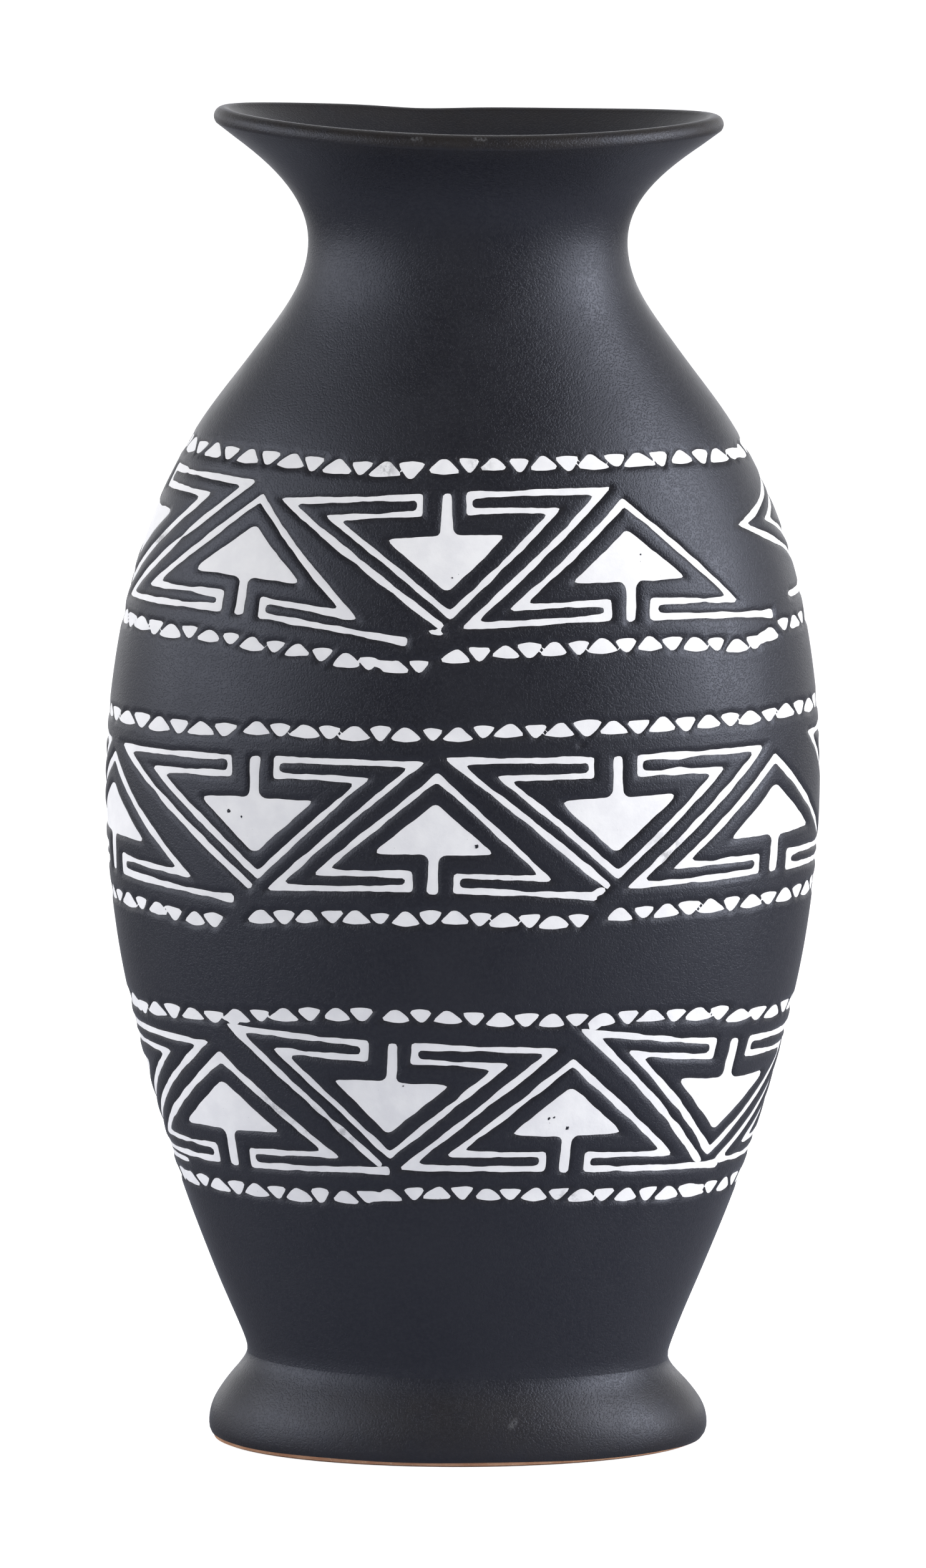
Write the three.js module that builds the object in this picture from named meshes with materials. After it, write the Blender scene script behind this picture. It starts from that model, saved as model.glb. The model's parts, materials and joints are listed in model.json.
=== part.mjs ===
// A fired clay vase with an oval section: a flared foot, a full belly, a narrow neck and a
// trumpet mouth. Three bands of white slip figures run round its black glazed wall.
// Millimetres, +Z up. The origin is the centre of the sole that the vase stands on, the width
// runs along X, and the front faces -Y.
import * as THREE from "three";

// Driving dimensions
const HEIGHT = 335; // from the sole to the top of the lip
const OVAL = 0.6; // depth of the section over its width
const WALL = 5.5; // thickness of the thrown wall
const LIP_RADIUS = 2.3; // the lip is rolled to this radius
const SIDES = 36; // flat sides of every ring of clay
const LARGEST_STEP = (2 * Math.PI) / SIDES; // turn between two stations of a figure

// Heights where the thrown sections are luted together
const FLOOR_UNDERSIDE = 14;
const WAIST = 21.5;
const BELLY_SEAM = 128;
const NECK_SEAM = 264;
const RIM_SEAM = 309;

// The foot
const SOLE_WIDTH = 7.5; // the bare ring of clay that meets the table
const FOOT_HOLLOW = 46.5; // half width of the hollow, under the floor
const LEDGE = 2.8; // step inside the foot that the floor sits on
const CLEARANCE = 0.3; // gap round the floor

// Half width of the outside at each height: [height, half width]
const FOOT_OUTLINE = [
  [0, 61.2],
  [1.4, 62.3],
  [4.5, 62.8],
  [9, 61.8],
  [14, 58.5],
  [18.5, 54.4],
  [WAIST, 52],
];
const BODY_OUTLINE = [
  [WAIST, 52],
  [32, 56.4],
  [44, 61.5],
  [66, 69.9],
  [91, 77.7],
  [121, 84.9],
  [146, 88.3],
  [168, 89.3],
  [191, 88],
  [216, 83.8],
  [238, 76.8],
  [258, 66.6],
  [276, 53.4],
  [291, 43],
  [301, 39.8],
  [309, 40.3],
  [316, 44],
  [323, 51.2],
  [330.6, 62.3],
];
const LIP_CENTRE = [61.1, HEIGHT - LIP_RADIUS]; // half width and height

// The slip figures
const RECESS = 1.2; // the bands lie this deep below the outside
const INLAY = 0.5; // thickness of the slip, flush with the outside
const STROKE = 2; // width of the fret's line
const TOOTH_HEIGHT = 3.8;
const LOWER_TEETH = -8.3; // centre of the lower row, from the fret's foot line
const UPPER_TEETH = 38.7;
const BAND_MARGIN = 4.5; // recess beyond the centre of each row of teeth
const FRET_TOP = 33;

// One stencil, flat: [along, up] from the foot of the V. The fret is one bent line.
const FRET = [
  [-2.5, 1],
  [-41.5, 32],
  [-7.2, 32],
  [-7.2, 28],
  [-29.5, 27.7],
  [0, 2.8],
  [26.7, 27.2],
  [5, 28],
  [5, 32],
  [39.7, 31.3],
  [5.5, 0],
  [39.3, 0.3],
  [39.3, 4],
  [17, 4],
  [44.7, 28.3],
  [72.5, 3.3],
  [50.5, 3.7],
  [50.5, 0],
  [82, -0.6],
];
// An arrow is the same shape both ways up: a stem, and a head that is half a diamond.
const ARROW = {
  halfHead: 13.8,
  headLength: 13,
  halfStem: 1.3,
  stemLength: 10.3,
  fillet: 0.7,
};
const DOWN_ARROW = { along: -0.6, headBase: 22.3, points: -1 };
const UP_ARROW = { along: 44.8, headBase: 8.8, points: 1 };
const STENCIL_MARKS = [-43, 0, 45, 87]; // where each print's drift is given, along the stencil

// Each print is [along the wall from the front, width scale, drift in height at the marks].
const BANDS = [
  {
    name: "1",
    footLine: 216,
    prints: [
      [-101, 1, [0, 1, 0.8, -4.5]],
      [-3, 1, [-3.5, -0.8, 0, -2]],
      [119, 1, [-11, -1, 0, 0]],
      [210, 1, [0, 0.5, 0.5, -1]],
    ],
  },
  {
    name: "2",
    footLine: 149.5,
    prints: [
      [-146.5, 1, [0, 0, 0, -4]],
      [-52, 1, [-1.6, -0.8, -0.2, -1.5]],
      [39, 1, [0.4, 0.3, 0.6, 0]],
      [140, 0.9, [0.5, 0.3, 0, -0.5]],
      [224.6, 0.9, [0.2, -0.4, 0, -1]],
    ],
  },
  {
    name: "3",
    footLine: 77,
    prints: [
      [-106.7, 1, [0.5, 1.2, -0.7, -0.2]],
      [-18, 1, [3, 0.8, 0.1, -1.2]],
      [71, 1, [3.7, -1.2, -1.6, -1.6]],
      [160, 1, [1, 0.5, 0, -0.8]],
    ],
  },
];

const glaze = new THREE.MeshStandardMaterial({ color: 0x24262e, roughness: 0.45, metalness: 0 });
const slip = new THREE.MeshStandardMaterial({ color: 0xe6e6ea, roughness: 0.7, metalness: 0 });

// A smooth curve through [input, output] pairs: a cubic with the slope of the neighbours.
function smooth(points, input) {
  let i = points.findIndex(([x]) => x > input) - 1;
  if (i < 0) i = input < points[0][0] ? 0 : points.length - 2;
  const slopeAt = (j) => {
    const a = points[Math.max(j - 1, 0)];
    const b = points[Math.min(j + 1, points.length - 1)];
    return (b[1] - a[1]) / (b[0] - a[0]);
  };
  const [[x0, y0], [x1, y1]] = [points[i], points[i + 1]];
  const span = x1 - x0;
  const t = (input - x0) / span;
  const rise = (y1 - y0) / span;
  const [m0, m1] = [slopeAt(i), slopeAt(i + 1)];
  const bend = (m0 + m1 - 2 * rise) * t * t + (3 * rise - 2 * m0 - m1) * t + m0;
  return y0 + bend * t * span;
}

// Half width of the vase's outside at a height
function outside(height) {
  return smooth(height < WAIST ? FOOT_OUTLINE : BODY_OUTLINE, height);
}

// Half width of the hollow, one wall in from the outside
function inside(height) {
  const dz = 0.5;
  const slope = (outside(height + dz) - outside(height)) / dz;
  return outside(height) - WALL * Math.hypot(1, slope);
}

// A profile's half widths become an oval section: the depth is cut by the same amount at
// every layer of the wall, so the wall is as thick at the front as at the sides.
function squeeze(radius, height) {
  return radius > 0 ? radius - (1 - OVAL) * outside(Math.min(height, BODY_OUTLINE.at(-1)[0])) : 0;
}

// A closed ring or disc of clay, from a profile of [half width, height] points
function thrown(name, profile) {
  const points = profile.map(([r, z]) => new THREE.Vector2(r, z));
  const geometry = new THREE.LatheGeometry(points, SIDES).rotateX(Math.PI / 2);
  const position = geometry.getAttribute("position");
  for (let i = 0; i < position.count; i++) {
    const [x, y, z] = [position.getX(i), position.getY(i), position.getZ(i)];
    const radius = Math.hypot(x, y);
    if (radius > 0) position.setY(i, (y / radius) * squeeze(radius, z));
  }
  geometry.computeVertexNormals();
  const mesh = new THREE.Mesh(geometry, glaze);
  mesh.name = name;
  return mesh;
}

// Heights from low to high in about equal steps
function steps(low, high, size) {
  const count = Math.max(1, Math.round((high - low) / size));
  return Array.from({ length: count + 1 }, (_, i) => low + ((high - low) * i) / count);
}

// The stretch of wall between two heights, with the bands' recesses on its outside
function wallProfile(low, high, outerStep, innerStep) {
  const outer = [];
  let from = low;
  for (const band of [...BANDS].reverse()) {
    const bottom = band.footLine + LOWER_TEETH - BAND_MARGIN;
    const top = band.footLine + UPPER_TEETH + BAND_MARGIN;
    if (bottom < low || top > high) continue;
    steps(from, bottom, outerStep).forEach((z) => outer.push([outside(z), z]));
    steps(bottom, top, outerStep).forEach((z) => outer.push([outside(z) - RECESS, z]));
    from = top;
  }
  steps(from, high, outerStep).forEach((z) => outer.push([outside(z), z]));
  const inner = steps(low, high, innerStep).map((z) => [inside(z), z]);
  return [...outer, ...inner.reverse(), outer[0]];
}

function footRing() {
  const ceiling = FOOT_HOLLOW + LEDGE;
  const outline = FOOT_OUTLINE.map(([z, r]) => [r, z]);
  return thrown("foot_ring", [
    ...outline,
    [ceiling, WAIST],
    [ceiling, FLOOR_UNDERSIDE],
    [FOOT_HOLLOW, FLOOR_UNDERSIDE],
    [outline[0][0] - SOLE_WIDTH, 0],
    outline[0],
  ]);
}

function baseFloor() {
  const edge = FOOT_HOLLOW + LEDGE - CLEARANCE;
  return thrown("base_floor", [
    [0, FLOOR_UNDERSIDE],
    [edge, FLOOR_UNDERSIDE],
    [edge, WAIST],
    [0, WAIST],
  ]);
}

// The trumpet mouth: the flare runs tangent into a rolled lip, and back down inside.
function rim() {
  const [lipWidth, lipHeight] = LIP_CENTRE;
  const flare = Math.atan2(-1, 1.25); // direction from the lip's centre to the flare's outside
  const roll = steps(flare, flare + Math.PI, Math.PI / 5).map((turn) => [
    lipWidth + LIP_RADIUS * Math.cos(turn),
    lipHeight + LIP_RADIUS * Math.sin(turn),
  ]);
  const flareTop = roll[0][1] - 4;
  const outer = steps(RIM_SEAM, flareTop, 4.5).map((z) => [outside(z), z]);
  const inner = steps(RIM_SEAM, flareTop, 6).map((z) => [inside(z), z]);
  return thrown("rim", [...outer, ...roll, ...inner.reverse(), outer[0]]);
}

// Distance along a unit oval from its front, tabulated against the turn about the axis
const ARC = [[0, 0]];
const ARC_STEP = Math.PI / 720;
for (let turn = ARC_STEP; turn < 2.5 * Math.PI; turn += ARC_STEP) {
  const middle = turn - ARC_STEP / 2;
  const stretch = Math.hypot(Math.cos(middle), OVAL * Math.sin(middle));
  ARC.push([ARC.at(-1)[0] + stretch * ARC_STEP, turn]);
}

// Turn about the axis of a point at a distance along a wall of the given half width
function turnAt(along, halfWidth) {
  const distance = Math.abs(along) / halfWidth;
  const i = ARC.findIndex(([length]) => length > distance);
  const [[l0, t0], [l1, t1]] = [ARC[i - 1], ARC[i]];
  return Math.sign(along) * (t0 + ((t1 - t0) * (distance - l0)) / (l1 - l0));
}

// A point on the wall: a turn about the axis, a height, and a depth below the outside
function onWall(turn, height, depth) {
  const width = outside(height) - depth;
  return [width * Math.sin(turn), -(width - (1 - OVAL) * outside(height)) * Math.cos(turn), height];
}

// A flush inlay of slip between two edges. Each station is a pair of [turn, height] points,
// the right edge first as the stations advance. A closed inlay is a ring.
function inlay(name, stations, closed = false) {
  const position = stations.flatMap(([right, left]) => [
    ...onWall(...right, 0),
    ...onWall(...left, 0),
    ...onWall(...left, INLAY),
    ...onWall(...right, INLAY),
  ]);
  const index = [];
  const quad = (a, b, c, d) => index.push(a, b, c, a, c, d);
  const count = stations.length;
  for (let i = 0; i < (closed ? count : count - 1); i++) {
    const [here, next] = [4 * i, 4 * ((i + 1) % count)];
    for (let edge = 0; edge < 4; edge++) {
      const after = (edge + 1) % 4;
      quad(here + edge, next + edge, next + after, here + after);
    }
  }
  if (!closed) {
    const last = 4 * (count - 1);
    quad(0, 1, 2, 3);
    quad(last + 3, last + 2, last + 1, last);
  }
  const geometry = new THREE.BufferGeometry();
  geometry.setAttribute("position", new THREE.Float32BufferAttribute(position, 3));
  geometry.setIndex(index);
  geometry.computeVertexNormals();
  const mesh = new THREE.Mesh(geometry, slip);
  mesh.name = name;
  return mesh;
}

// Lays a stencil's point on the wall, with the print's place, width and drift
function place(band, [along, scale, drift], [u, v]) {
  const marks = STENCIL_MARKS.map((mark, i) => [mark, drift[i]]);
  const clamped = Math.min(Math.max(u, STENCIL_MARKS[0]), STENCIL_MARKS.at(-1));
  const middle = outside(band.footLine + FRET_TOP / 2);
  return [turnAt(along + u * scale, middle), band.footLine + v + smooth(marks, clamped)];
}

// Places flat stations on the wall, with more between them where the wall turns far
function placeAll(band, print, flat) {
  const mix = (a, b, t) => a.map((value, k) => value + (b[k] - value) * t);
  const stations = [];
  flat.forEach((station, i) => {
    const [right, left] = station.map((point) => place(band, print, point));
    if (i > 0) {
      const turn = Math.max(...stations.at(-1).map((p, k) => Math.abs(p[0] - [right, left][k][0])));
      const parts = Math.ceil(turn / LARGEST_STEP);
      for (let j = 1; j < parts; j++) {
        const between = station.map((point, k) => mix(flat[i - 1][k], point, j / parts));
        stations.push(between.map((point) => place(band, print, point)));
      }
    }
    stations.push([right, left]);
  });
  return stations;
}

// The two edges of a line of even width, mitred at its corners
function strokeStations(points, width) {
  const vectors = points.map(([u, v]) => new THREE.Vector2(u, v));
  const normals = vectors.slice(1).map((point, i) => {
    const along = point.clone().sub(vectors[i]).normalize();
    return new THREE.Vector2(-along.y, along.x);
  });
  return vectors.map((point, i) => {
    const before = normals[Math.max(i - 1, 0)];
    const after = normals[Math.min(i, normals.length - 1)];
    const mitre = before.clone().add(after).normalize();
    mitre.multiplyScalar(width / 2 / mitre.dot(before));
    return [point.clone().sub(mitre).toArray(), point.clone().add(mitre).toArray()];
  });
}

// An arrow is cut in upright slices: outer point, stem side, stem side, outer point.
function arrowStations({ along, headBase, points }) {
  const { halfHead, headLength, halfStem, stemLength, fillet } = ARROW;
  const tip = (u) => headBase + points * (0.6 + headLength * (1 - Math.abs(u) / halfHead));
  const slice = (u, base) => {
    const edges = [base, tip(u)].sort((a, b) => a - b);
    return edges.map((v) => [along + u, v]);
  };
  const stem = headBase - points * stemLength;
  return [
    slice(-halfHead, headBase),
    slice(-halfStem - fillet, headBase),
    slice(-halfStem, stem),
    slice(0, stem),
    slice(halfStem, stem),
    slice(halfStem + fillet, headBase),
    slice(halfHead, headBase),
  ];
}

// A border of teeth, as one ring: the teeth themselves are too small and too many for nodes.
function toothRow(name, height) {
  const stations = Array.from({ length: SIDES }, (_, i) => {
    const turn = i * LARGEST_STEP;
    return [-1, 1].map((side) => [turn, height + (side * TOOTH_HEIGHT) / 2]);
  });
  return inlay(name, stations, true);
}

function band(plan) {
  const group = new THREE.Group();
  plan.prints.forEach((print, i) => {
    const label = `${plan.name}_${i + 1}`;
    const line = placeAll(plan, print, strokeStations(FRET, STROKE));
    const down = placeAll(plan, print, arrowStations(DOWN_ARROW));
    const up = placeAll(plan, print, arrowStations(UP_ARROW));
    group.add(inlay(`fret_${label}`, line));
    group.add(inlay(`arrow_down_${label}`, down));
    group.add(inlay(`arrow_up_${label}`, up));
  });
  group.add(toothRow(`teeth_${plan.name}_lower`, plan.footLine + LOWER_TEETH));
  group.add(toothRow(`teeth_${plan.name}_upper`, plan.footLine + UPPER_TEETH));
  return group;
}

const vase = new THREE.Group();
vase.add(footRing());
vase.add(baseFloor());
vase.add(thrown("lower_body", wallProfile(WAIST, BELLY_SEAM, 12, 15)));
vase.add(thrown("upper_body", wallProfile(BELLY_SEAM, NECK_SEAM, 13, 14)));
vase.add(thrown("neck", wallProfile(NECK_SEAM, RIM_SEAM, 9, 11)));
vase.add(rim());
BANDS.forEach((plan) => vase.add(band(plan)));

export default vase;
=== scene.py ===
import json
import math

import bpy
import numpy as np
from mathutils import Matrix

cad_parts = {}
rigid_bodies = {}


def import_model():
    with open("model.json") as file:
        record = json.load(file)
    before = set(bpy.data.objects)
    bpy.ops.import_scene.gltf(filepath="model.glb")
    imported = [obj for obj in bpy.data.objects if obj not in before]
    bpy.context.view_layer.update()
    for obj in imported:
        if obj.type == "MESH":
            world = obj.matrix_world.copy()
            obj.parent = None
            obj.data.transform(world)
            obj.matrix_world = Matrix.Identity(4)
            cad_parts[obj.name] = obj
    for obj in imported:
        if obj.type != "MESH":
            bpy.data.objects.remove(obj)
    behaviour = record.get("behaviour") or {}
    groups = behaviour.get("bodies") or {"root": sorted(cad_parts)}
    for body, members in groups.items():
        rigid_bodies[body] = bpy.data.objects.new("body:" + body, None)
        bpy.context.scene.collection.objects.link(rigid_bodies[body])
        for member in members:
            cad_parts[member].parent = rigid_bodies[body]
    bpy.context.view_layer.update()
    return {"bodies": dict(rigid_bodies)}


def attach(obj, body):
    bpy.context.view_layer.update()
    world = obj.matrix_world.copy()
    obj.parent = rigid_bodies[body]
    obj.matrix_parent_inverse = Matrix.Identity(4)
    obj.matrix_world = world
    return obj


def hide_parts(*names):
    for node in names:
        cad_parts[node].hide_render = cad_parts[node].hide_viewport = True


# The looks of an oval black glazed vase with three bands of white slip figures.
# Lengths are in millimetres and angles in radians until a mesh is written, in metres. The
# front faces -Y. A "turn" is the angle about the vase's axis from its front towards +X.
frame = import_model()
root_body = next(iter(frame["bodies"]))
MM = 0.001

# The vase's own sizes, as in the CAD part
HEIGHT = 335
OVAL = 0.6  # depth of the section over its width
WALL = 5.5
LIP_RADIUS = 2.3
LIP_CENTRE = (61.1, HEIGHT - LIP_RADIUS)  # half width and height
FLOOR_UNDERSIDE = 14
WAIST = 21.5
BELLY_SEAM = 128
NECK_SEAM = 264
RIM_SEAM = 309
SOLE_WIDTH = 7.5
FOOT_HOLLOW = 46.5
LEDGE = 2.8
CLEARANCE = 0.3

# Half width of the outside at each height: (height, half width)
FOOT_OUTLINE = [(0, 61.2), (1.4, 62.3), (4.5, 62.8), (9, 61.8), (14, 58.5), (18.5, 54.4), (WAIST, 52)]
BODY_OUTLINE = [
    (WAIST, 52), (32, 56.4), (44, 61.5), (66, 69.9), (91, 77.7), (121, 84.9), (146, 88.3),
    (168, 89.3), (191, 88), (216, 83.8), (238, 76.8), (258, 66.6), (276, 53.4), (291, 43),
    (301, 39.8), (309, 40.3), (316, 44), (323, 51.2), (330.6, 62.3),
]

# How the fired vase strays from an even one
LEAN = 2.6  # the mouth's shift towards +X
CREASE = 2.4  # how far the waist's crease is filled
WAIST_TILT = 0.9  # the crease sits this much lower at +X and higher at -X
MOUTH_LIFT = {"all": 0.2, "front": 0.5, "left": 1.1, "ends": 1.25}
MOUTH_DIP = {"turn": math.radians(191), "spread": math.radians(8), "depth": 0.6}
MOUTH_WAVES = (300, 334)  # the mouth's waves grow between these heights

# Where the glaze draws thin: (height where that starts, height where it is thinnest)
LIP_THINNING = (329.5, 333)
FOOT_THINNING = (WAIST - 1, WAIST - 7)
FOOT_THINNEST = 0.5
EDGE_THINNEST = 0.55  # at a figure's edge
INSIDE_DRAW = 2.5  # the glaze inside the mouth draws back this much less than outside
FOOT_SKIN = 0.3  # thickness of the glaze on the foot

# The decoration: glaze stands round figures of bare white slip
BAND_BELOW = 15.5  # the glaze of a band reaches this far below the fret's foot line
BAND_ABOVE = 45
BAND_DEPTH = 1.2  # thickness of that glaze with the slip under it
GRID = 0.68  # spacing of the grid that the figures are cut on
EDGE_WIDTH = 1.6  # the glaze rounds down over this width towards a figure
EDGE_DEPTH = 0.42
SLIP_DEPTH = 0.36  # the slip's face lies this far below the glaze
SLIP_BED = 0.85
SLIP_GAP = 0.03  # left under the slip
FAR = 3.0  # distances beyond this don't matter
FRET_TOP = 33

# One stencil, flat: (along, up, width of the line) from the foot of the V
FRET = [
    (-1.9, -0.3, 2.1), (-22, 16.4, 1.8), (-42, 32, 1.8), (-24, 32, 1.6), (-7.4, 32, 1.9),
    (-7.4, 28, 1.9), (-18, 27.8, 1.5), (-29.5, 27.7, 1.7), (-14, 15.2, 1.8), (0, 2.8, 1.9),
    (13, 14.6, 1.7), (26.7, 27.2, 1.8), (16, 27.8, 1.5), (5, 28, 1.9), (5, 32, 1.9),
    (22, 31.8, 1.6), (39.7, 31.3, 1.8), (21.5, 15.3, 1.7), (4.2, 0, 1.8), (22, 0.1, 1.6),
    (39, 0.3, 1.9), (39, 4, 1.9), (28, 4, 1.5), (16.1, 4, 1.7), (30, 15.6, 1.8),
    (44.7, 28.3, 1.9), (58.4, 16.3, 1.8), (73.4, 3.3, 1.8), (61, 3.6, 1.5), (50.8, 3.7, 1.9),
    (50.8, 0, 1.9), (66, -0.3, 1.6),
]
TAIL = [(80, -0.7, 1.8), (85, -1, 2.5), (86.6, -1, 2.9)]  # the fret's free end, past its last point
STENCIL_TOP = 32
LINE_SHARE = 0.9  # the printed line's width over the stencil's
ARROW = {"half_head": 14.6, "half_stem": 1.28, "fillet": 1.2}
DOWN_ARROW = {"along": -0.6, "base": 22.3, "head": 13.1, "stem": 10.3, "points": -1}
UP_ARROW = {"along": 44.8, "base": 8.8, "head": 12.3, "stem": 9.6, "points": 1}
STENCIL_MARKS = (-43, 0, 45, 87)  # where a print's drift is given, along the stencil
TOOTH_PITCH = 6.35  # the spacing that the teeth below are drawn for
UP_TOOTH = [(-4.4, -1.4), (0, -1.75), (4.4, -1.4), (2.2, 0.5), (0.8, 1.7), (-0.8, 1.7), (-2.2, 0.5)]
DOWN_TOOTH = [(-3.4, 1.5), (0, 1.75), (3.4, 1.5), (0.6, -1.65), (-0.6, -1.65)]

# The stencil was wrapped on by hand. A print is (foot, top, drift, tail): where its foot and
# its top start and how they are stretched along the wall, its drift in height at the marks and
# the shift of its tail's end. Each row of teeth wanders, (along, height), and is printed in
# runs of (first tooth, last tooth, count). A stray is a slip of the stencil: (name of the
# figure that it joins, width, points).
BANDS = {}
BANDS["1"] = {
    "foot": 216,
    "squash": 0.985,
    "prints": [
        ((-98.5, 0.98), (-100.7, 1), (0, 0.4, 0.2, -4.3), 0.6),
        ((-3.2, 0.95), (-4.3, 1.05), (-3.8, -1.5, -0.2, -1.5), 0.5),
        ((119, 1), (118, 1), (-12, 1, 0, 0), 0),
        ((210, 1), (210, 1), (0, 0.5, 0.5, -1), 0),
    ],
    "upper": [
        (-201, 253.2), (-60, 253.6), (-37, 252.6), (-22, 251.9), (-12, 252), (-6, 252.9),
        (15, 253.4), (60, 253.3), (78, 252.5), (86, 252.2), (110, 252.8), (201, 253.2),
    ],
    "upper_runs": [(-107.5, -15.2, 14), (-6, 85, 14), (92, 181, 14), (188.5, 279.5, 14)],
    "lower": [
        (-201, 210), (-84, 210.3), (-60, 209.8), (-47, 208.6), (-36, 207.3), (-25, 205.5),
        (-7, 204.6), (-3.5, 207), (7, 208.2), (26, 208.9), (50, 208.8), (66, 207),
        (74, 207.6), (83, 210), (201, 210),
    ],
    "lower_runs": [(-96, -10, 16), (-2, 94.3, 18), (101, 198, 18), (204, 301, 18)],
    "strays": [
        ("fret_1_2", 1.5, [(-8.6, 213.4), (-6.6, 213.1), (-4.6, 212.7)]),
        ("fret_1_3", 1.7, [(88, 217), (106, 217), (124, 215.8)]),
        ("teeth_1_lower", 2.2, [(-20.6, 205.2), (-14.5, 204.9)]),
        ("teeth_1_lower", 2.4, [(72, 207.4), (79, 209.3)]),
        ("teeth_1_upper", 2.4, [(83, 252.3), (91, 252.2)]),
    ],
}
BANDS["2"] = {
    "foot": 149.5,
    "squash": 1,
    "prints": [
        ((-151.5, 1.065), (-146.5, 1), (0, 0, -1.5, -3.6), 0),
        ((-52.3, 1), (-52.5, 1.035), (-2, -0.9, -0.3, -1.5), 0),
        ((39.3, 1.02), (39.6, 1.012), (0.2, -0.2, 0.3, 0), 0),
        ((140, 0.9), (140, 0.9), (0.5, 0.3, 0, -0.5), 0),
        ((222, 0.87), (224.6, 0.9), (0.2, -0.4, 0, -1), -6),
    ],
    "upper": [
        (-228, 187), (-97, 186.6), (-62, 187.1), (-53, 188), (-2, 188), (5, 188.6),
        (24, 188.9), (97, 188.9), (228, 187.5),
    ],
    "upper_runs": [
        (-151.7, -62, 14), (-53.2, 31, 14), (38, 122.5, 14), (129.3, 209.9, 14), (216.4, 297, 14),
    ],
    "lower": [
        (-228, 140.8), (-97, 140.6), (-66, 138.8), (-60, 139), (-52, 140.9), (-8, 142.1),
        (5, 141.8), (23, 140.8), (32, 140.9), (40, 142.1), (97, 142.6), (228, 141),
    ],
    "lower_runs": [
        (-146.1, -65.5, 14), (-52, 29.7, 14), (40.5, 122.4, 14), (129, 209.6, 14), (216, 302, 14),
    ],
    "strays": [
        ("fret_2_2", 2.2, [(33, 147.5), (36.4, 148.9)]),
        ("fret_2_3", 0.9, [(29, 185.1), (29.7, 185.5)]),
    ],
}
BANDS["3"] = {
    "foot": 77,
    "squash": 0.985,
    "prints": [
        ((-109, 1.02), (-104.2, 0.98), (0.5, -0.5, -1, 0.7), 2),
        ((-18.7, 1.04), (-15.6, 0.955), (3.4, 1, -0.2, -1.7), 5),
        ((71.3, 1), (71.4, 0.985), (3.9, -1.8, -1.8, -1.6), 0),
        ((160, 1), (160, 1), (1, 0.5, 0, -0.8), 0),
    ],
    "upper": [
        (-202, 114), (-94, 113.5), (-85, 113), (-80, 113.8), (-61, 114.1), (-48, 115.5),
        (-35, 116.6), (-15, 117.2), (0, 116.6), (14, 116), (45, 115.3), (58, 114.9),
        (70, 113.4), (83, 112.4), (202, 113.5),
    ],
    "upper_runs": [
        (-104.6, -23, 14), (-15.3, 64, 14), (70.3, 154.8, 14), (161.3, 242.8, 14), (249.2, 289.2, 7),
    ],
    "lower": [
        (-202, 69), (-91, 69.3), (-32, 69.3), (-19, 70.2), (-12, 70.8), (14, 70.7), (27, 70.3),
        (41, 69.4), (54, 68.7), (61, 68.2), (84, 67.9), (202, 69),
    ],
    "lower_runs": [
        (-111.3, -25.5, 14), (-19.3, 67.2, 14), (70.5, 156.3, 14), (163, 244.5, 14), (250.8, 282.4, 6),
    ],
    "strays": [
        ("fret_3_4", 1.6, [(-106, 74.4), (-82.5, 74)]),
        ("teeth_3_upper", 2.6, [(-93, 114.8), (-87, 112.2)]),
        ("teeth_3_upper", 2.4, [(-56.6, 112.2), (-54, 113.6)]),
        ("teeth_3_upper", 2.4, [(30.4, 113.4), (33, 114.4)]),
        ("teeth_3_lower", 2.2, [(-26, 69.6), (-19, 69.9)]),
        ("teeth_3_lower", 2.2, [(66, 68), (74, 68.4)]),
        ("teeth_3_lower", 2.4, [(-91, 69.2), (-83, 69.8)]),
    ],
}
# Teeth that came out large: (band, row, along, by how much)
BIG_TEETH = [("1", "upper", -22.3, 1.1), ("1", "upper", -15.2, 1.2), ("2", "upper", 31, 1.2)]
# Glaze that spat onto the slip: (band, along, height, radius)
SPATS = [
    ("2", 3.5, 160.3, 0.55), ("2", -60, 167, 0.5), ("2", -56.5, 165.8, 0.3),
    ("3", 22.5, 90.3, 0.4), ("3", 23.8, 90.5, 0.3), ("3", 27.5, 87.6, 0.5),
    ("1", -3, 226.4, 0.2), ("1", 44, 231, 0.25), ("3", -14, 99, 0.2), ("2", 41, 158, 0.22),
]
# Grey worn patches of slip: (along, height, radius)
WORN = [
    (-47, 93, 6), (-39, 89, 7), (-31, 85, 6), (-22, 252.3, 4), (4, 253.5, 5), (30, 68.5, 5),
    (52, 158, 7), (86, 240, 5), (-86, 231, 5),
]

# The camera, a long lens a little above the vase
CAMERA_DISTANCE = 3050
LOOK_DOWN = math.radians(9.47)
AIM = (1.25, 0, 167.0)
LENS = 186.4
SENSOR_HEIGHT = 24


# ---- the vase's form ----

def smooth(points, x):
    """A cubic through (input, output) points with the slope of the neighbours, straight beyond."""
    px, py = np.array(points, float).T
    index = np.arange(len(px))
    before = np.maximum(index - 1, 0)
    after = np.minimum(index + 1, len(px) - 1)
    slope = (py[after] - py[before]) / (px[after] - px[before])
    inner = np.clip(x, px[0], px[-1])
    i = np.clip(np.searchsorted(px, inner, "right") - 1, 0, len(px) - 2)
    span = px[i + 1] - px[i]
    t = (inner - px[i]) / span
    rise = (py[i + 1] - py[i]) / span
    curl = slope[i] + slope[i + 1] - 2 * rise
    bend = curl * t * t + (3 * rise - 2 * slope[i] - slope[i + 1]) * t + slope[i]
    before_first, past_last = np.minimum(x - px[0], 0), np.maximum(x - px[-1], 0)
    return py[i] + bend * t * span + before_first * slope[0] + past_last * slope[-1]


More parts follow.
